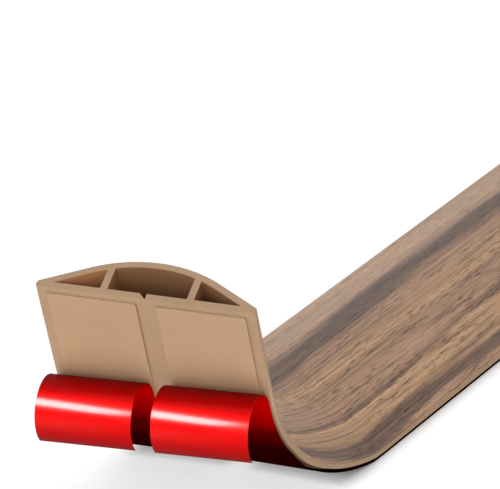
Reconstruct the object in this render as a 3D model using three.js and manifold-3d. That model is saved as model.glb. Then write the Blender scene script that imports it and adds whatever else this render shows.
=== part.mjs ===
// Floor cord cover: one length of soft three-channel cover strip with a wood-grain top.
// Millimetres, +Z up. The strip lies along Y and its front end, towards -Y, curls up off
// the floor with a slight twist. Two adhesive tapes run along its underside, and their
// release liners are peeled back and curled at the front.

import Module from 'manifold-3d';
import * as THREE from 'three';
import { mergeVertices } from 'three/addons/utils/BufferGeometryUtils.js';

// Cross-section of the strip

const stripWidth = 75;
const stripHeight = 15.8;
const lipHeight = 1.7;
const crownRadius = 46;
const cornerRadius = 0.8;
const floorWall = 2.4;
const roofWall = 2;
const webWall = 2.4;
const middleChannelWidth = 27.2;
const slitWidth = 0.15;

// Decorative film on the arched top

const filmThickness = 0.3;
const filmMargin = 0.2;

// Adhesive tapes and their release liners

const tapeWidth = 30.6;
const tapeThickness = 0.8;
const tapeFromMiddle = 3.4;
const tapeFrontInset = 2.5;
const linerWidth = 33.6;
const linerThickness = 0.2;
const layerGap = 0.2;

// Lie of the strip: flat run, long curl off the floor, tighter curl, straight front

const stripLength = 1000;
const floorCurlRadius = 144;
const floorCurlAngle = 22.4;
const frontCurlRadius = 76.7;
const frontCurlAngle = 43.8;
const frontStraight = 43.2;
const frontTwist = 11.5;
const twistStart = 9;
const twistEnd = 79;

// Peeled ends of the liners, whose curl stands a little askew

const peelLength = 43.7;
const peelSkew = 2.7;
const linerCurlRadius = 11.4;
const linerCurlAngle = 200.5;

// Facets

const curlStep = 3.5;
const linerCurlStep = 15;
const crownSegments = 8;
const roofSegments = 4;
const cornerSegments = 2;
const cutMargin = 1;
const mergeDistance = 0.001;

const vinylColour = 0xb29676;
const filmColour = 0x7b6558;
const tapeColour = 0xbe9d7d;
const linerColour = 0xd80a0a;

const halfWidth = stripWidth / 2;
const halfChannel = middleChannelWidth / 2;
const crownCentre = stripHeight - crownRadius;
const radians = THREE.MathUtils.degToRad;

// Each flank of the arch is the straight tangent from the lip to the crown's circle.

function flankSlope() {
  const rise = lipHeight - crownCentre;
  const lipDistance = Math.hypot(halfWidth, rise);
  return Math.atan2(halfWidth, rise) - Math.acos(crownRadius / lipDistance);
}

const flankAngle = flankSlope();

// Half width of the arch at a height, with the arch inset by a depth (negative: outset)

function flankReach(height, inset) {
  return halfWidth + (lipHeight - height) / Math.tan(flankAngle) - inset / Math.sin(flankAngle);
}

function archHeight(across, inset) {
  const radius = crownRadius - inset;
  if (Math.abs(across) <= radius * Math.sin(flankAngle)) {
    return crownCentre + Math.sqrt(radius * radius - across * across);
  }
  const drop = (Math.abs(across) - flankReach(lipHeight, inset)) * Math.tan(flankAngle);
  return lipHeight - drop;
}

// Points of the arch from its right end to its left end

function archPoints(inset, reach) {
  const radius = crownRadius - inset;
  const points = [new THREE.Vector2(reach, archHeight(reach, inset))];
  for (let i = 0; i <= crownSegments; i += 1) {
    const angle = flankAngle * (1 - (2 * i) / crownSegments);
    const across = radius * Math.sin(angle);
    points.push(new THREE.Vector2(across, crownCentre + radius * Math.cos(angle)));
  }
  points.push(new THREE.Vector2(-reach, archHeight(reach, inset)));
  return points;
}

// Points of a channel's roof, round under the crown and straight under the flanks

function roofPoints(from, to) {
  const crownReach = (crownRadius - roofWall) * Math.sin(flankAngle);
  const start = THREE.MathUtils.clamp(from, -crownReach, crownReach);
  const end = THREE.MathUtils.clamp(to, -crownReach, crownReach);
  const places = new Set([from]);
  for (let i = 0; i <= roofSegments; i += 1) {
    places.add(THREE.MathUtils.lerp(start, end, i / roofSegments));
  }
  places.add(to);
  const low = Math.min(from, to);
  const high = Math.max(from, to);
  return [...places]
    .filter((across) => across >= low && across <= high)
    .map((across) => new THREE.Vector2(across, archHeight(across, roofWall)));
}

function cornerPoints(side) {
  const corner = new THREE.Path();
  const from = side > 0 ? -Math.PI / 2 : Math.PI;
  corner.absarc(side * (halfWidth - cornerRadius), cornerRadius, cornerRadius, from, from + Math.PI / 2);
  return corner.getPoints(cornerSegments);
}

// The middle channel opens downwards through a slit, and a cord is pressed in there: the
// right lip is upright and the left one is bevelled, so that they form a V at the end.

function outerSection() {
  const half = slitWidth / 2;
  const slitTop = floorWall + cutMargin;
  return new THREE.Shape([
    new THREE.Vector2(half, slitTop),
    new THREE.Vector2(half, 0),
    ...cornerPoints(1),
    ...archPoints(0, halfWidth),
    ...cornerPoints(-1),
    new THREE.Vector2(-half, 0),
    new THREE.Vector2(-half - slitTop, slitTop),
  ]);
}

function middleChannelSection() {
  return new THREE.Shape([
    new THREE.Vector2(-halfChannel, floorWall),
    ...roofPoints(-halfChannel, halfChannel),
    new THREE.Vector2(halfChannel, floorWall),
  ]);
}

function sideChannelSection(side) {
  const inner = side * (halfChannel + webWall);
  const tip = side * flankReach(floorWall, roofWall);
  return new THREE.Shape([new THREE.Vector2(inner, floorWall), ...roofPoints(inner, tip)]);
}

function filmSection() {
  const reach = halfWidth - filmMargin;
  const outer = archPoints(-layerGap - filmThickness, reach);
  const inner = archPoints(-layerGap, reach);
  return new THREE.Shape([...outer, ...inner.reverse()]);
}

// A flat layer under the strip, measured outwards from the inner edge of its tape

function layerSection(side, width, top, thickness) {
  const near = side * tapeFromMiddle;
  const far = side * (tapeFromMiddle + width);
  return new THREE.Shape([
    new THREE.Vector2(Math.min(near, far), top - thickness),
    new THREE.Vector2(Math.max(near, far), top - thickness),
    new THREE.Vector2(Math.max(near, far), top),
    new THREE.Vector2(Math.min(near, far), top),
  ]);
}

// The strip's lie: lengths are measured along its bottom face, from where it leaves
// the floor, and are negative along the flat run.

const curls = [
  { radius: floorCurlRadius, angle: radians(floorCurlAngle) },
  { radius: frontCurlRadius, angle: radians(frontCurlAngle) },
];
const curledLength = curls.reduce((sum, curl) => sum + curl.radius * curl.angle, 0);
const frontEnd = curledLength + frontStraight;
const backEnd = frontEnd - stripLength;

// A frame's X runs across the strip, its Y out of the arched top and its Z forwards.

function frameAt(along) {
  const origin = new THREE.Vector3(0, -Math.min(along, 0), 0);
  let angle = 0;
  let left = Math.max(along, 0);
  for (const curl of curls) {
    const turned = Math.min(left / curl.radius, curl.angle);
    origin.y -= curl.radius * (Math.sin(angle + turned) - Math.sin(angle));
    origin.z += curl.radius * (Math.cos(angle) - Math.cos(angle + turned));
    angle += turned;
    left -= turned * curl.radius;
  }
  origin.y -= left * Math.cos(angle);
  origin.z += left * Math.sin(angle);

  const share = (along - twistStart) / (twistEnd - twistStart);
  const twisted = THREE.MathUtils.clamp(share, 0, 1);
  const turn = new THREE.Matrix4().makeRotationX(Math.PI / 2 - angle);
  const roll = new THREE.Matrix4().makeRotationZ(radians(frontTwist) * twisted);
  return new THREE.Matrix4().setPosition(origin).multiply(turn).multiply(roll);
}

// The layers share these lengths, so that their facets stay parallel.

const stations = [backEnd, 0];
for (const end of [twistEnd, frontEnd - peelLength, frontEnd - tapeFrontInset, frontEnd]) {
  const start = stations[stations.length - 1];
  const steps = Math.ceil((end - start) / curlStep);
  for (let i = 1; i <= steps; i += 1) {
    stations.push(THREE.MathUtils.lerp(start, end, i / steps));
  }
}

function framesTo(end) {
  return stations.filter((along) => along <= end).map(frameAt);
}

// Frames of a peeled liner: it leaves the tape askew and curls back on itself.

function curlFrames(depth) {
  const skew = new THREE.Matrix4().makeRotationY(-radians(peelSkew));
  const place = new THREE.Matrix4().makeTranslation(0, depth - linerCurlRadius, 0);
  const peel = frameAt(frontEnd - peelLength).multiply(skew).multiply(place);
  const lift = new THREE.Matrix4().makeTranslation(0, linerCurlRadius - depth, 0);
  const steps = Math.ceil(linerCurlAngle / linerCurlStep);
  const frames = [];
  for (let i = 0; i <= steps; i += 1) {
    const turn = new THREE.Matrix4().makeRotationX(radians((linerCurlAngle * i) / steps));
    frames.push(peel.clone().multiply(turn).multiply(lift));
  }
  return frames;
}

// A section extruded by one unit per span, with each of its steps set in a frame

function sweep(section, frames) {
  const spans = frames.length - 1;
  const geometry = new THREE.ExtrudeGeometry(section, { depth: spans, steps: spans, bevelEnabled: false });
  const position = geometry.getAttribute('position');
  const point = new THREE.Vector3();
  for (let i = 0; i < position.count; i += 1) {
    point.fromBufferAttribute(position, i);
    const frame = frames[Math.round(point.z)];
    point.setZ(0).applyMatrix4(frame);
    position.setXYZ(i, point.x, point.y, point.z);
  }
  geometry.computeVertexNormals();
  return geometry;
}

const wasm = await Module();
wasm.setup();

function toSolid(geometry) {
  const bare = geometry.clone();
  bare.deleteAttribute('normal');
  bare.deleteAttribute('uv');
  const merged = mergeVertices(bare, mergeDistance);
  return new wasm.Manifold(new wasm.Mesh({
    numProp: 3,
    vertProperties: merged.getAttribute('position').array,
    triVerts: merged.getIndex().array,
  }));
}

function toGeometry(solid) {
  const { vertProperties, triVerts } = solid.getMesh();
  const geometry = new THREE.BufferGeometry();
  geometry.setAttribute('position', new THREE.BufferAttribute(vertProperties, 3));
  geometry.setIndex(new THREE.BufferAttribute(triVerts, 1));
  geometry.computeVertexNormals();
  return geometry;
}

// The extrusion is the outer section with the three channels cut through it.

function extrusion() {
  const cutFrames = [backEnd - cutMargin, ...stations, frontEnd + cutMargin].map(frameAt);
  const cuts = [middleChannelSection(), sideChannelSection(-1), sideChannelSection(1)];
  let solid = toSolid(sweep(outerSection(), framesTo(frontEnd)));
  for (const cut of cuts) {
    solid = solid.subtract(toSolid(sweep(cut, cutFrames)));
  }
  return toGeometry(solid);
}

function piece(name, geometry, color, roughness) {
  const material = new THREE.MeshStandardMaterial({ color, roughness, metalness: 0 });
  const mesh = new THREE.Mesh(geometry, material);
  mesh.name = name;
  return mesh;
}

const strip = new THREE.Group();
strip.add(piece('cover_extrusion', extrusion(), vinylColour, 0.6));
strip.add(piece('wood_grain_film', sweep(filmSection(), framesTo(frontEnd)), filmColour, 0.5));

const linerTop = -layerGap - tapeThickness - layerGap;
const linerDepth = linerTop - linerThickness / 2;
const laidFrames = framesTo(frontEnd - peelLength).slice(0, -1);
for (const [name, side] of [['left', -1], ['right', 1]]) {
  const tape = layerSection(side, tapeWidth, -layerGap, tapeThickness);
  const liner = layerSection(side, linerWidth, linerTop, linerThickness);
  const linerFrames = [...laidFrames, ...curlFrames(linerDepth)];
  strip.add(piece(`adhesive_tape_${name}`, sweep(tape, framesTo(frontEnd - tapeFrontInset)), tapeColour, 0.7));
  strip.add(piece(`release_liner_${name}`, sweep(liner, linerFrames), linerColour, 0.2));
}

// The part's origin is the middle of its base.

const box = new THREE.Box3().setFromObject(strip);
const middle = box.getCenter(new THREE.Vector3());
strip.position.set(-middle.x, -middle.y, -box.min.z);

const part = new THREE.Group();
part.add(strip);

export default part;
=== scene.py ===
"""Floor cord cover: a three-channel strip of soft vinyl with a wood-grain top.

The flat run lies on the floor, the front end curls up, and the red release liners of the
two adhesive tapes under it are peeled back there. Lengths are in metres.
"""

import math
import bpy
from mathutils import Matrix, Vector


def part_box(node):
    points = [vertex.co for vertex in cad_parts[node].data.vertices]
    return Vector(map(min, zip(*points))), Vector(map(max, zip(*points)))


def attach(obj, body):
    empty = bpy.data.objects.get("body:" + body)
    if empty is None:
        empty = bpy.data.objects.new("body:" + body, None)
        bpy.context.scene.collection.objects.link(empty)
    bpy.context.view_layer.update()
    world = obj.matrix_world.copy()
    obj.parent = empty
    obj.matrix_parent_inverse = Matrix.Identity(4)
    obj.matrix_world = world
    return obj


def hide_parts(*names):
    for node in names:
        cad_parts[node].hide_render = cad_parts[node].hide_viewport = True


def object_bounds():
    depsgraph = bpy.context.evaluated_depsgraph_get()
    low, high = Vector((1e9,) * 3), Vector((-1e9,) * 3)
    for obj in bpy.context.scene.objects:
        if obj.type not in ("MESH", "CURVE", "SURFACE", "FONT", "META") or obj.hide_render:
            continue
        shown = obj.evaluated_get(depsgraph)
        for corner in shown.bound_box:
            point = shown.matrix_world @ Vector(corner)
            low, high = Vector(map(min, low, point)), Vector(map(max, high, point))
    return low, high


bl_info = {
    "name": "Floor Cord Cover",
    "version": (1, 0, 0),
    "blender": (4, 5, 0),
    "location": "View3D > Sidebar > Cord Cover",
    "description": "Builds a curled floor cord cover with its film, tapes and liners",
    "category": "Object",
}

import bmesh
import bpy
from bpy.props import FloatProperty, FloatVectorProperty, PointerProperty
from bpy.types import Operator, Panel, PropertyGroup
from mathutils import Matrix, Vector

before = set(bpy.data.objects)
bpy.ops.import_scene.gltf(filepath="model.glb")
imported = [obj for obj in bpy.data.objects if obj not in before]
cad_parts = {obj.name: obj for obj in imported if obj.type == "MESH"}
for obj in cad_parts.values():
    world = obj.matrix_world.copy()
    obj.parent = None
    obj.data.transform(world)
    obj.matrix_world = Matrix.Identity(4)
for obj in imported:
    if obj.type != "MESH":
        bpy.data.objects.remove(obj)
CAD_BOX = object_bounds()
BODY = "root"
SIDES = {"left": -1, "right": 1}
MILLIMETRES = 1000.0

# The vertex attribute that holds a place in the straight strip, and the slack with which
# materials tell the channels' floor and the front face by it

PLACE = "place_in_strip"
FLOOR_SLACK = 0.00005
FRONT_SLACK = 0.00001

# Where the strip lies in the frame: its back end, its base and its middle line

COVER_LOW, COVER_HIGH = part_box("cover_extrusion")
MIDDLE_X = (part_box("adhesive_tape_left")[0][0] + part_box("adhesive_tape_right")[1][0]) / 2

# Each light's place, seen from the front end, and its two sides

LIGHTS = {
    "overhead": ((0, 0.3, 1.4), (1.6, 1.6)),
    "front": ((0.45, -1.4, 0.55), (1.2, 0.8)),
    "stripe": ((-0.5, -0.9, 0.64), (0.8, 0.34)),
}

# Painted shade along the liner, as a share of its colour: near black on the tape behind the peel
# line, darker at the crest and at the end of its curl; 0 lies one curl behind the peel line, 1 is
# its end

LINER_PAINTED_SHADE = (
    (0.0, 0.02),
    (0.15, 0.03),
    (0.30, 0.12),
    (0.40, 0.45),
    (0.50, 0.8),
    (0.62, 0.22),
    (0.72, 0.5),
    (0.79, 0.85),
    (0.88, 0.85),
    (1.0, 0.25),
)

# Bands of the grain from the right lip to the left: place, colour and share of the colour

WOOD_BANDS = (
    (0.00, "light", 0.95),
    (0.02, "mid", 1),
    (0.04, "dark", 1),
    (0.085, "dark", 1.1),
    (0.115, "light", 0.98),
    (0.18, "light", 1),
    (0.205, "dark", 1.15),
    (0.235, "mid", 0.95),
    (0.34, "mid", 1),
    (0.38, "light", 1),
    (0.45, "light", 0.95),
    (0.50, "mid", 1.05),
    (0.55, "mid", 0.85),
    (0.585, "dark", 1.05),
    (0.67, "dark", 1),
    (0.71, "mid", 1.1),
    (0.75, "light", 1),
    (1.00, "light", 0.93),
)


def length(name, description, default):
    """A length that a user may set."""
    return FloatProperty(
        name=name, description=description, default=default, unit="LENGTH", precision=4
    )


def angle(name, description, degrees):
    """An angle that a user may set."""
    return FloatProperty(
        name=name, description=description, default=math.radians(degrees), unit="ROTATION"
    )


def colour(name, description, default):
    """A linear colour that a user may set."""
    return FloatVectorProperty(
        name=name, description=description, default=default, subtype="COLOR", min=0, max=1, size=3
    )


def amount(name, description, default):
    """A plain number that a user may set."""
    return FloatProperty(name=name, description=description, default=default)


class CoverSizes(PropertyGroup):
    """Sizes of the strip and of the layers on it."""

    strip_length: length("Strip length", "Length along the bottom face", 1.0)
    strip_width: length("Strip width", "Width over both lips", 0.075)
    strip_height: length("Strip height", "Height of the vinyl without its film", 0.0158)
    lip_height: length("Lip height", "Height of the upright edge of each lip", 0.0017)
    crown_radius: length("Crown radius", "Radius of the round middle of the top", 0.046)
    bottom_rounding: length("Bottom rounding", "Rounding of the bottom corners", 0.0005)
    lip_rounding: length("Lip rounding", "Rounding of the top corner of each lip", 0.0003)
    floor_wall: length("Floor wall", "Thickness below the channels", 0.0024)
    roof_wall: length("Roof wall", "Thickness above the channels", 0.002)
    web_wall: length("Web wall", "Thickness between the channels", 0.0024)
    middle_channel: length("Middle channel", "Width of the middle channel", 0.0272)
    channel_rounding: length("Channel rounding", "Rounding inside the channels", 0.0004)
    slit_width: length("Slit width", "Gap between the lips of the slit", 0.00003)
    film_gap: length("Film gap", "Space between vinyl and film", 0.00003)
    film_top: length("Film top", "Height of the film's face over the vinyl", 0.00044)
    film_margin: length("Film margin", "Bare strip beside the film at each lip", 0.0002)
    tape_inset: length("Tape inset", "Middle line to the inner edge of a tape", 0.0034)
    tape_width: length("Tape width", "Width of each tape", 0.0306)
    tape_gap: length("Tape gap", "Space between vinyl and tape", 0.00003)
    tape_bottom: length("Tape bottom", "Depth of a tape's face under the vinyl", 0.0006)
    tape_setback: length("Tape setback", "Front end to the start of a tape", 0.0025)
    liner_width: length("Liner width", "Width of each release liner", 0.03357)
    liner_thickness: length("Liner thickness", "Thickness of the liner film", 0.0002)
    liner_depth: length("Liner depth", "Depth of a liner's middle under the vinyl", 0.0013)


class CurlSizes(PropertyGroup):
    """How the strip and its liners curl."""

    floor_radius: length("Floor curl radius", "Radius where it leaves the floor", 0.144)
    floor_angle: angle("Floor curl angle", "Turn where it leaves the floor", 22.4)
    front_radius: length("Front curl radius", "Radius of the tighter curl", 0.0767)
    front_angle: angle("Front curl angle", "Turn of the tighter curl", 43.8)
    front_straight: length("Front straight", "Straight stretch to the front end", 0.0432)
    twist: angle("Twist", "Twist of the front end", 11.5)
    twist_start: length("Twist start", "Length after which the twist begins", 0.009)
    twist_end: length("Twist end", "Length at which the twist is complete", 0.079)
    peel_length: length("Peel length", "Front end to the peel line of the liners", 0.0437)
    peel_skew: angle("Peel skew", "Turn of the peel line from square", 2.7)
    liner_radius: length("Liner curl radius", "Radius of a liner's curl", 0.01138)
    liner_angle: angle("Liner curl angle", "Turn of a liner's curl", 200.5)


class CoverFinish(PropertyGroup):
    """Colours of the pieces."""

    vinyl: colour("Vinyl", "Soft vinyl of the strip", (0.336, 0.221, 0.134))
    # Painted shade: this tint darkens the vinyl inside the channels
    channel: colour("Channel", "Tint inside the channels", (0.75, 0.55, 0.40))
    # Painted light: the left channel is painted paler than the others
    left_channel_painted_light: amount("Left channel", "How much paler the left channel is", 1.6)
    tape: colour("Tape", "Adhesive tape", (0.377, 0.246, 0.149))
    liner: colour("Liner", "Release liner", (0.62, 0.0, 0.0))
    wood_light: colour("Light wood", "Light bands of the grain", (0.40, 0.238, 0.135))
    wood_mid: colour("Middle wood", "Middle tone of the grain", (0.325, 0.192, 0.122))
    wood_dark: colour("Dark wood", "Dark bands of the grain", (0.135, 0.081, 0.057))


class StageSettings(PropertyGroup):
    """Camera, floor and lights."""

    camera_place: FloatVectorProperty(
        name="Camera place",
        description="Where the camera stands",
        default=(0.6896, -1.7457, 0.7875),
        unit="LENGTH",
        size=3,
    )
    camera_yaw: angle("Camera yaw", "Turn of the camera to the left", 27.209)
    camera_pitch: angle("Camera pitch", "Tilt of the camera to the floor", 24.933)
    camera_roll: angle("Camera roll", "Roll of the camera", 4.281)
    camera_lens: amount("Camera lens", "Focal length in millimetres", 360)
    camera_reach: length("Camera reach", "How far the camera sees", 20.0)
    floor_size: length("Floor size", "Side of the square floor", 8.0)
    floor_tone: colour("Floor tone", "Colour of the floor", (0.35, 0.34, 0.34))
    floor_glow: amount("Floor glow", "Strength of the floor's own light", 0.68)
    contact_reach: length("Contact reach", "How near the floor stops glowing", 0.006)
    sky: amount("Sky", "Strength of the even studio light", 0.8)
    overhead: amount("Overhead", "Power of the large overhead light in watts", 6)
    front: amount("Front", "Power of the large front light in watts", 11)
    stripe: amount("Stripe", "Power of the long light that the liners mirror", 155)


# The cross-section, with X across the strip and Y out of its top


def crown_centre(sizes):
    """Height of the centre of the crown's circle."""
    return sizes.strip_height - sizes.crown_radius


def flank_angle(sizes):
    """Slope of the flanks, which touch the crown's circle and end at the lips."""
    half = sizes.strip_width / 2
    rise = sizes.lip_height - crown_centre(sizes)
    return math.atan2(half, rise) - math.acos(sizes.crown_radius / math.hypot(half, rise))


def flank_reach(sizes, height, inset):
    """Half width of the inset arch at a height on its flanks."""
    slope = flank_angle(sizes)
    half = sizes.strip_width / 2
    return half + (sizes.lip_height - height) / math.tan(slope) - inset / math.sin(slope)


def arch_height(sizes, across, inset):
    """Height of the arch, inset by a depth, at a place across the strip."""
    radius = sizes.crown_radius - inset
    slope = flank_angle(sizes)
    if abs(across) <= radius * math.sin(slope):
        return crown_centre(sizes) + math.sqrt(radius**2 - across**2)
    reach = flank_reach(sizes, sizes.lip_height, inset)
    return sizes.lip_height - (abs(across) - reach) * math.tan(slope)


def crown_reach(sizes, inset):
    """Half width of the inset crown, where its flanks begin."""
    return (sizes.crown_radius - inset) * math.sin(flank_angle(sizes))


class Outline:
    """A closed outline in the plane of the cross-section, drawn point by point."""

    def __init__(self, mesh):
        self.mesh = mesh
        self.verts = []
        self.roundings = {}

    def point(self, x, y, rounding=0):
        """Adds a point, whose corner is later rounded."""
        self.verts.append(self.mesh.verts.new((x, y, 0)))
        self.round_last(rounding)

    def round_last(self, rounding):
        """Has the last point's corner rounded."""
        if rounding:
            self.roundings.setdefault(rounding, []).append(self.verts[-1])

    def crown(self, sizes, start, end, inset, rounding=0, steps=48):
        """Spins the arc of the inset crown between two places across the strip."""
        radius = sizes.crown_radius - inset
        self.point(start, arch_height(sizes, start, inset), rounding)
        turn = math.asin(start / radius) - math.asin(end / radius)
        vert, edge = self.verts[-1], None
        bmesh.ops.spin(
            self.mesh,
            geom=[vert],
            cent=(0, crown_centre(sizes), 0),
            axis=(0, 0, 1),
            angle=turn,
            steps=steps,
        )
        for _ in range(steps):
            edge = next(item for item in vert.link_edges if item is not edge)
            vert = edge.other_vert(vert)
            self.verts.append(vert)
        self.round_last(rounding)

    def close(self):
        """Joins all the points in a ring and rounds the corners."""
        for first, second in zip(self.verts, self.verts[1:] + self.verts[:1]):
            if not self.mesh.edges.get((first, second)):
                self.mesh.edges.new((first, second))
        for rounding, verts in self.roundings.items():
            bmesh.ops.bevel(
                self.mesh,
                geom=verts,
                offset=rounding,
                affect="VERTICES",
                segments=4,
                profile=0.5,
                material=-1,
            )


def draw_strip(mesh, sizes):
    """Draws the vinyl's outline, in which the slit opens the middle channel."""
    half, channel, slit = sizes.strip_width / 2, sizes.middle_channel / 2, sizes.slit_width / 2
    wall, small, crown = sizes.floor_wall, sizes.channel_rounding, crown_reach(sizes, 0)
    outline = Outline(mesh)
    outline.point(slit, 0)
    outline.point(half, 0, sizes.bottom_rounding)
    outline.point(half, sizes.lip_height, sizes.lip_rounding)
    outline.crown(sizes, crown, -crown, 0)
    outline.point(-half, sizes.lip_height, sizes.lip_rounding)
    outline.point(-half, 0, sizes.bottom_rounding)
    outline.point(-slit, 0)
    outline.point(-slit - wall, wall)
    outline.point(-channel, wall, small)
    outline.crown(sizes, -channel, channel, sizes.roof_wall, small, 16)
    outline.point(channel, wall, small)
    outline.point(slit, wall)
    outline.close()


def draw_side_channel(mesh, sizes, side):
    """Draws a side channel, which runs out thin towards the lip."""
    wall, small, roof = sizes.floor_wall, sizes.channel_rounding, sizes.roof_wall
    inner = side * (sizes.middle_channel / 2 + sizes.web_wall)
    outline = Outline(mesh)
    outline.point(inner, wall, small)
    outline.point(side * flank_reach(sizes, wall, roof), wall)
    outline.crown(sizes, side * crown_reach(sizes, roof), inner, roof, 0, 6)
    outline.round_last(small)
    outline.close()


def draw_film(mesh, sizes):
    """Draws the film on the arch."""
    reach = sizes.strip_width / 2 - sizes.film_margin
    outline = Outline(mesh)
    for side, inset in ((1, -sizes.film_top), (-1, -sizes.film_gap)):
        crown = side * crown_reach(sizes, inset)
        outline.point(side * reach, arch_height(sizes, reach, inset))
        outline.crown(sizes, crown, -crown, inset)
        outline.point(-side * reach, arch_height(sizes, reach, inset))
    outline.close()


def draw_layer(mesh, side, inner, width, top, bottom):
    """Draws a flat layer under the strip, with its long edges rounded."""
    near, far = side * inner, side * (inner + width)
    rounding = (top - bottom) / 4
    outline = Outline(mesh)
    for x, y in ((near, bottom), (far, bottom), (far, top), (near, top)):
        outline.point(x, y, rounding)
    outline.close()


# The lie of the strip: lengths run along its bottom face from where it leaves the floor


def curled_length(curl):
    """Length of the two curls."""
    return curl.floor_radius * curl.floor_angle + curl.front_radius * curl.front_angle


def front_end(curl):
    """Place of the front end along the strip."""
    return curled_length(curl) + curl.front_straight


def peel_line(curl):
    """Place along the strip where the liners leave it."""
    return front_end(curl) - curl.peel_length


def lie_frame(sizes, curl, along):
    """Frame of the strip at a length, with X across, Y out of the top and Z forwards."""
    back_end = front_end(curl) - sizes.strip_length
    y, z, turned = -min(along, 0), 0, 0
    left = max(along, 0)
    for radius, most in (
        (curl.floor_radius, curl.floor_angle),
        (curl.front_radius, curl.front_angle),
    ):
        turn = min(left / radius, most)
        y -= radius * (math.sin(turned + turn) - math.sin(turned))
        z += radius * (math.cos(turned) - math.cos(turned + turn))
        turned += turn
        left -= turn * radius
    y -= left * math.cos(turned)
    z += left * math.sin(turned)
    place = Vector((MIDDLE_X, COVER_HIGH[1] + back_end + y, COVER_LOW[2] + z))
    share = (along - curl.twist_start) / (curl.twist_end - curl.twist_start)
    share = min(max(share, 0), 1)
    lean = Matrix.Rotation(math.pi / 2 - turned, 4, "X")
    twist = Matrix.Rotation(curl.twist * share, 4, "Z")
    return Matrix.Translation(place) @ lean @ twist


def stations(sizes, curl, end, spare=0, step=0.0015):
    """Lengths from the back end to an end, closely spaced along the curls, and frames.

    The last stations are left out where some length is spared before the end.
    """
    count = math.ceil(end / step)
    lengths = [front_end(curl) - sizes.strip_length]
    lengths += [end * i / count for i in range(count + 1)]
    if spare:
        lengths = [along for along in lengths if along < end - spare]
    return lengths, [lie_frame(sizes, curl, along) for along in lengths]


def liner_stations(sizes, curl, steps=60, spare=0.004):
    """Lengths and frames of a liner: flat on the tape, then curled back askew."""
    peel = peel_line(curl)
    lengths, frames = stations(sizes, curl, peel, spare)
    radius, middle = curl.liner_radius, -sizes.liner_depth
    skew = Matrix.Rotation(-curl.peel_skew, 4, "Y")
    base = lie_frame(sizes, curl, peel) @ skew @ Matrix.Translation((0, middle - radius, 0))
    lift = Matrix.Translation((0, radius - middle, 0))
    for i in range(steps + 1):
        turn = curl.liner_angle * i / steps
        frames.append(base @ Matrix.Rotation(turn, 4, "X") @ lift)
        lengths.append(peel + turn * radius)
    return lengths, frames


# Mesh building


def sweep(mesh, lengths, frames):
    """Extrudes the outlines in a mesh from frame to frame and fills both ends.

    Every vertex keeps its place in the straight strip: across, height and length. The
    ends are filled in millimetres, because the slit is finer than the fill can tell apart.
    """
    place = mesh.verts.layers.float_vector.new(PLACE)
    for vert in mesh.verts:
        vert[place] = (vert.co.x, vert.co.y, lengths[0])
    bmesh.ops.transform(mesh, matrix=frames[0], verts=mesh.verts[:])
    ring = mesh.edges[:]
    back = ring
    for along, before, after in zip(lengths[1:], frames, frames[1:]):
        made = bmesh.ops.extrude_edge_only(mesh, edges=ring)["geom"]
        verts = [item for item in made if isinstance(item, bmesh.types.BMVert)]
        new = set(verts)
        edges = [item for item in made if isinstance(item, bmesh.types.BMEdge)]
        ring = [edge for edge in edges if new.issuperset(edge.verts)]
        bmesh.ops.transform(mesh, matrix=after @ before.inverted(), verts=verts)
        for vert in verts:
            vert[place].z = along
    bmesh.ops.scale(mesh, vec=(MILLIMETRES,) * 3, verts=mesh.verts[:])
    for end in (back, ring):
        bmesh.ops.triangle_fill(mesh, edges=end, use_beauty=True)
    bmesh.ops.scale(mesh, vec=(1 / MILLIMETRES,) * 3, verts=mesh.verts[:])
    bmesh.ops.recalc_face_normals(mesh, faces=mesh.faces[:])


def link_object(name, mesh, material):
    """Turns a mesh into an object of the scene."""
    data = bpy.data.meshes.new(name)
    mesh.to_mesh(data)
    mesh.free()
    data.materials.append(material)
    made = bpy.data.objects.new(name, data)
    bpy.context.scene.collection.objects.link(made)
    return made


def finish_piece(name, mesh, material, node, sharp=28):
    """Turns a mesh into a piece that stands for a CAD node and rides on the body."""
    for face in mesh.faces:
        face.smooth = True
    for edge in mesh.edges:
        edge.smooth = edge.calc_face_angle(math.pi) < math.radians(sharp)
    piece = link_object(name, mesh, material)
    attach(piece, BODY)
    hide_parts(node)
    return piece


# Materials


def rgba(shade):
    """The four numbers of a colour or of a grey."""
    red, green, blue = (shade,) * 3 if isinstance(shade, (int, float)) else shade
    return (red, green, blue, 1)


class Nodes:
    """Short forms for the node tree of one material."""

    def __init__(self, name):
        self.material = bpy.data.materials.new(name)
        self.material.use_nodes = True
        self.tree = self.material.node_tree
        self.shader = self.tree.nodes["Principled BSDF"]

    def add(self, kind, inputs=None, **settings):
        """Adds a node, sets it and links or fills its inputs."""
        node = self.tree.nodes.new(kind)
        for key, value in settings.items():
            setattr(node, key, value)
        for key, value in (inputs or {}).items():
            self.put(node.inputs[key], value)
        return node

    def put(self, socket, value):
        """Links an output to a socket, or sets the socket to a constant."""
        if isinstance(value, bpy.types.NodeSocket):
            self.tree.links.new(value, socket)
        else:
            socket.default_value = value

    def shade(self, inputs):
        """Links or fills inputs of the shader."""
        for key, value in inputs.items():
            self.put(self.shader.inputs[key], value)

    def ramp(self, factor, stops):
        """A ramp through stops of a place and a colour or grey."""
        node = self.add("ShaderNodeValToRGB", {"Fac": factor})
        elements = node.color_ramp.elements
        while len(elements) < len(stops):
            elements.new(0.5)
        for element, (place, shade) in zip(elements, stops):
            element.position = place
            element.color = rgba(shade)
        return node.outputs["Color"]

    def mix(self, factor, first, second, blend="MIX"):
        """A mix of two colours, whose sockets have numbers of their own on the mix node."""
        node = self.add("ShaderNodeMix", data_type="RGBA", blend_type=blend)
        for socket, value in ((0, factor), (6, first), (7, second)):
            self.put(node.inputs[socket], value)
        return node.outputs[2]

    def multiply(self, first, second):
        """The product of two colours."""
        return self.mix(1.0, first, second, "MULTIPLY")

    def math(self, operation, first, second=0.0, third=0.0):
        """A sum, product or other plain operation."""
        node = self.add("ShaderNodeMath", operation=operation)
        for socket, value in zip(node.inputs, (first, second, third)):
            self.put(socket, value)
        return node.outputs[0]


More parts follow.
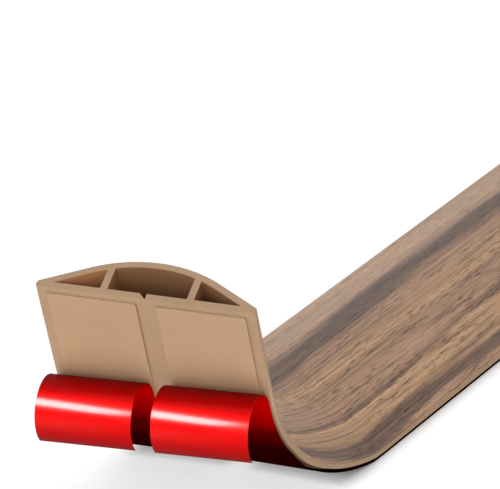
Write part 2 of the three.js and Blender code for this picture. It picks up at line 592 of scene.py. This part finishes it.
class StripNodes(Nodes):
    """Short forms for a material that follows the straight strip."""

    def __init__(self, name):
        super().__init__(name)
        self.place = self.add("ShaderNodeAttribute", attribute_name=PLACE).outputs["Vector"]

    def noise(self, across, along, detail=4.0, roughness=0.5):
        """Noise between 0 and 1 with so many features a metre across and along the strip."""
        scale = (across, across, along)
        mapping = self.add("ShaderNodeMapping", {"Vector": self.place, "Scale": scale})
        inputs = {
            "Vector": mapping.outputs["Vector"],
            "Scale": 1.0,
            "Detail": detail,
            "Roughness": roughness,
        }
        return self.add("ShaderNodeTexNoise", inputs).outputs["Fac"]

    def wander(self, noise, reach):
        """A shift to either side, as far as a reach, that follows a noise."""
        return self.math("MULTIPLY_ADD", noise, 2 * reach, -reach)

    def split_place(self):
        """The place in the strip as three numbers: across, height and length."""
        outputs = self.add("ShaderNodeSeparateXYZ", {"Vector": self.place}).outputs
        return outputs["X"], outputs["Y"], outputs["Z"]

    def painted_light_at_peel(self, curl):
        """A factor of painted light, highest at the peel line and falling to 1 on both sides of
        it, that lightens the strip where the rolls shade it.
        """
        inputs = {
            "Value": self.split_place()[2],
            "From Min": peel_line(curl) - curl.peel_length,
            "From Max": front_end(curl),
        }
        share = self.add("ShaderNodeMapRange", inputs).outputs["Result"]
        return self.ramp(share, [(0.3, 1.0), (0.5, 1.4), (0.65, 1.12), (0.85, 1.0)])

    def finish(self, tone, roughness, specular, height, distance):
        """Fills the shader: its colour, its gloss and the height of its fine relief."""
        bump = self.add("ShaderNodeBump", {"Height": height, "Distance": distance})
        inputs = {
            "Base Color": tone,
            "Roughness": roughness,
            "Specular IOR Level": specular,
            "Normal": bump.outputs["Normal"],
        }
        self.shade(inputs)
        return self.material


def vinyl_material(finish, sizes, curl):
    """Matt soft vinyl with faint lengthwise marks of the extruder; painted shade darkens its
    channels, and painted light lifts the left channel and the strip beside the peel line.
    """
    nodes = StripNodes("soft_vinyl")
    base = Vector(finish.vinyl)
    marks = nodes.noise(900, 6, 3)
    cloud = nodes.noise(60, 30, 2)
    tone = nodes.ramp(cloud, [(0.3, base * 0.96), (0.7, base * 1.03)])
    across, height, along = nodes.split_place()
    # Mask of the channels' inside, where shade is painted
    above = nodes.math("GREATER_THAN", height, sizes.floor_wall - FLOOR_SLACK)
    behind = nodes.math("LESS_THAN", along, front_end(curl) - FRONT_SLACK)
    inside = nodes.math("MULTIPLY", above, behind)
    channel_shade = nodes.multiply(tone, rgba(finish.channel))
    # Painted light: the left channel is made paler than the others
    left = nodes.math("LESS_THAN", across, -sizes.middle_channel / 2)
    channel_shade = nodes.mix(left, channel_shade, nodes.multiply(channel_shade, rgba(finish.left_channel_painted_light)))
    tone = nodes.mix(inside, tone, channel_shade)
    # Painted light beside the peel line, where the rolls shade the vinyl
    tone = nodes.multiply(tone, nodes.painted_light_at_peel(curl))
    return nodes.finish(tone, roughness=0.6, specular=0.05, height=marks, distance=0.00002)


def tape_material(finish, curl):
    """Matt adhesive tape with a fine tooth, with painted light near the peel line."""
    nodes = StripNodes("adhesive_tape")
    base = Vector(finish.tape)
    tooth = nodes.noise(1500, 1500, 2)
    cloud = nodes.noise(70, 40, 2)
    tone = nodes.ramp(cloud, [(0.3, base * 0.98), (0.7, base * 1.02)])
    # Painted light beside the peel line, where the rolls shade the tape
    tone = nodes.multiply(tone, nodes.painted_light_at_peel(curl))
    return nodes.finish(tone, roughness=0.7, specular=0.0, height=tooth, distance=0.00001)


def liner_material(finish, curl):
    """Red film with painted shade: near black where it lies on the tape, darker at the crest and
    end of its curl, and glossy on its curl.
    """
    nodes = StripNodes("release_liner")
    base = Vector(finish.liner)
    waves = nodes.noise(50, 40, 1)
    curled = curl.liner_radius * curl.liner_angle
    past = nodes.math("SUBTRACT", nodes.split_place()[2], peel_line(curl) - curled)
    share = nodes.math("DIVIDE", past, 2 * curled)
    # Painted shade along the liner: near black on the tape, darker at the crest and end of the
    # curl
    tone = nodes.ramp(share, [(place, base * part) for place, part in LINER_PAINTED_SHADE])
    gloss = nodes.ramp(share, [(0.55, 0), (0.7, 0.12)])
    nodes.shade({"Metallic": gloss, "Coat Weight": gloss, "Coat Roughness": 0.2})
    return nodes.finish(tone, roughness=0.4, specular=0.0, height=waves, distance=0.00004)


def wood_material(finish, sizes, curl):
    """Printed wood grain: broad bands, fine fibres and short dark pores along the strip."""
    nodes = StripNodes("wood_grain_film")
    woods = {
        "light": Vector(finish.wood_light),
        "mid": Vector(finish.wood_mid),
        "dark": Vector(finish.wood_dark),
    }
    across, _, along = nodes.split_place()
    sway = nodes.wander(nodes.noise(9, 3.5, 2), 0.006)
    ragged = nodes.wander(nodes.noise(260, 14, 5, 0.6), 0.005)
    shifted = nodes.math("ADD", across, nodes.math("ADD", sway, ragged))
    band = nodes.math("MULTIPLY_ADD", shifted, -1 / sizes.strip_width, 0.5)
    tone = nodes.ramp(band, [(place, woods[name] * part) for place, name, part in WOOD_BANDS])
    fibres = nodes.noise(800, 12, 5, 0.6)
    for grain, stops in (
        (nodes.noise(240, 5, 3), [(0.3, 0.85), (0.7, 1.12)]),
        (fibres, [(0.35, 0.78), (0.65, 1.2)]),
        (nodes.noise(900, 22, 2), [(0.34, 0.65), (0.43, 1.0)]),
        (nodes.noise(2600, 130, 2), [(0.34, 0.72), (0.45, 1.0)]),
    ):
        tone = nodes.multiply(tone, nodes.ramp(grain, stops))
    dashes = nodes.ramp(nodes.noise(1900, 150, 2), [(0.37, 0.42), (0.43, 1.0)])
    patches = nodes.ramp(nodes.noise(150, 16, 2), [(0.40, 0.0), (0.50, 1.0)])
    tone = nodes.mix(patches, tone, nodes.multiply(tone, dashes))
    cut = nodes.math("GREATER_THAN", along, front_end(curl) - FRONT_SLACK)
    tone = nodes.mix(cut, tone, rgba(finish.vinyl))
    return nodes.finish(tone, roughness=0.45, specular=0.2, height=fibres, distance=0.00003)


def floor_material(stage):
    """Plain pale floor that glows a little, but not close to what stands on it."""
    nodes = Nodes("studio_floor")
    near = nodes.add("ShaderNodeAmbientOcclusion", {"Distance": stage.contact_reach})
    glow = nodes.math("MULTIPLY", near.outputs["AO"], stage.floor_glow)
    inputs = {
        "Base Color": rgba(stage.floor_tone),
        "Roughness": 0.4,
        "Specular IOR Level": 0.2,
        "Emission Color": rgba(1),
        "Emission Strength": glow,
    }
    nodes.shade(inputs)
    return nodes.material


# Operators


class CORDCOVER_OT_strip(Operator):
    """Build the soft vinyl strip with its three channels and its slit"""

    bl_idname = "cordcover.strip"
    bl_label = "Vinyl Strip"

    def execute(self, context):
        sizes, curl = context.scene.cover_sizes, context.scene.cover_curl
        mesh = bmesh.new()
        draw_strip(mesh, sizes)
        for side in SIDES.values():
            draw_side_channel(mesh, sizes, side)
        sweep(mesh, *stations(sizes, curl, front_end(curl)))
        material = vinyl_material(context.scene.cover_finish, sizes, curl)
        finish_piece("vinyl_strip", mesh, material, "cover_extrusion")
        return {"FINISHED"}


class CORDCOVER_OT_film(Operator):
    """Build the wood-grain film on the arched top"""

    bl_idname = "cordcover.film"
    bl_label = "Wood-Grain Film"

    def execute(self, context):
        sizes, curl = context.scene.cover_sizes, context.scene.cover_curl
        mesh = bmesh.new()
        draw_film(mesh, sizes)
        sweep(mesh, *stations(sizes, curl, front_end(curl)))
        material = wood_material(context.scene.cover_finish, sizes, curl)
        finish_piece("grain_film", mesh, material, "wood_grain_film")
        return {"FINISHED"}


class CORDCOVER_OT_tapes(Operator):
    """Build the two adhesive tapes under the strip"""

    bl_idname = "cordcover.tapes"
    bl_label = "Adhesive Tapes"

    def execute(self, context):
        sizes, curl = context.scene.cover_sizes, context.scene.cover_curl
        lengths, frames = stations(sizes, curl, front_end(curl) - sizes.tape_setback)
        material = tape_material(context.scene.cover_finish, curl)
        top, bottom = -sizes.tape_gap, -sizes.tape_bottom
        for word, side in SIDES.items():
            mesh = bmesh.new()
            draw_layer(mesh, side, sizes.tape_inset, sizes.tape_width, top, bottom)
            sweep(mesh, lengths, frames)
            finish_piece(f"tape_{word}", mesh, material, f"adhesive_tape_{word}")
        return {"FINISHED"}


class CORDCOVER_OT_liners(Operator):
    """Build the two release liners, peeled back and curled at the front"""

    bl_idname = "cordcover.liners"
    bl_label = "Release Liners"

    def execute(self, context):
        sizes, curl = context.scene.cover_sizes, context.scene.cover_curl
        lengths, frames = liner_stations(sizes, curl)
        material = liner_material(context.scene.cover_finish, curl)
        half = sizes.liner_thickness / 2
        top, bottom = half - sizes.liner_depth, -half - sizes.liner_depth
        for word, side in SIDES.items():
            mesh = bmesh.new()
            draw_layer(mesh, side, sizes.tape_inset, sizes.liner_width, top, bottom)
            sweep(mesh, lengths, frames)
            finish_piece(f"liner_{word}", mesh, material, f"release_liner_{word}")
        return {"FINISHED"}


class CORDCOVER_OT_stage(Operator):
    """Set up the pale floor, the soft lights and the camera"""

    bl_idname = "cordcover.stage"
    bl_label = "Stage"

    def execute(self, context):
        scene, stage = context.scene, context.scene.cover_stage
        camera_data = bpy.data.cameras.new("camera")
        camera_data.lens = stage.camera_lens
        camera_data.clip_end = stage.camera_reach
        camera = bpy.data.objects.new("camera", camera_data)
        camera.matrix_world = (
            Matrix.Translation(stage.camera_place)
            @ Matrix.Rotation(stage.camera_yaw, 4, "Z")
            @ Matrix.Rotation(math.pi / 2 - stage.camera_pitch, 4, "X")
            @ Matrix.Rotation(stage.camera_roll, 4, "Z")
        )
        scene.collection.objects.link(camera)
        scene.camera = camera

        mesh = bmesh.new()
        bmesh.ops.create_grid(mesh, size=stage.floor_size / 2)
        floor = link_object("floor", mesh, floor_material(stage))

        world = bpy.data.worlds.new("studio")
        world.use_nodes = True
        background = world.node_tree.nodes["Background"]
        background.inputs["Color"].default_value = rgba(1)
        background.inputs["Strength"].default_value = stage.sky
        scene.world = world
        scene.view_settings.view_transform = "Standard"

        low, high = CAD_BOX
        front = Vector((MIDDLE_X, low[1], high[2] / 2))
        for name, (offset, sides) in LIGHTS.items():
            light = area_light(name, front, Vector(offset), sides, getattr(stage, name))
            light.visible_diffuse = name != "stripe"
        return {"FINISHED"}


def area_light(name, target, offset, sides, power):
    """Adds a rectangular light that stands at an offset from a target and looks at it."""
    data = bpy.data.lights.new(name, "AREA")
    data.shape = "RECTANGLE"
    data.size, data.size_y = sides
    data.energy = power
    light = bpy.data.objects.new(name, data)
    light.location = target + offset
    light.rotation_euler = (-offset).to_track_quat("-Z", "Y").to_euler()
    bpy.context.scene.collection.objects.link(light)
    return light


class CORDCOVER_PT_panel(Panel):
    """Lists the steps that build the cord cover"""

    bl_idname = "CORDCOVER_PT_panel"
    bl_label = "Cord Cover"
    bl_space_type = "VIEW_3D"
    bl_region_type = "UI"
    bl_category = "Cord Cover"

    def draw(self, context):
        for operator in OPERATORS:
            self.layout.operator(operator.bl_idname)


GROUPS = {
    "cover_sizes": CoverSizes,
    "cover_curl": CurlSizes,
    "cover_finish": CoverFinish,
    "cover_stage": StageSettings,
}
OPERATORS = (
    CORDCOVER_OT_stage,
    CORDCOVER_OT_strip,
    CORDCOVER_OT_film,
    CORDCOVER_OT_tapes,
    CORDCOVER_OT_liners,
)


def register():
    """Registers the classes and hangs the settings on the scene."""
    for item in (*GROUPS.values(), *OPERATORS, CORDCOVER_PT_panel):
        bpy.utils.register_class(item)
    for name, group in GROUPS.items():
        setattr(bpy.types.Scene, name, PointerProperty(type=group))


def unregister():
    """Removes the settings and the classes."""
    for name in GROUPS:
        delattr(bpy.types.Scene, name)
    for item in (CORDCOVER_PT_panel, *reversed(OPERATORS), *GROUPS.values()):
        bpy.utils.unregister_class(item)


def main():
    """Sets the stage and builds every piece."""
    register()
    bpy.ops.cordcover.stage()
    bpy.ops.cordcover.strip()
    bpy.ops.cordcover.film()
    bpy.ops.cordcover.tapes()
    bpy.ops.cordcover.liners()


if __name__ == "__main__":
    main()
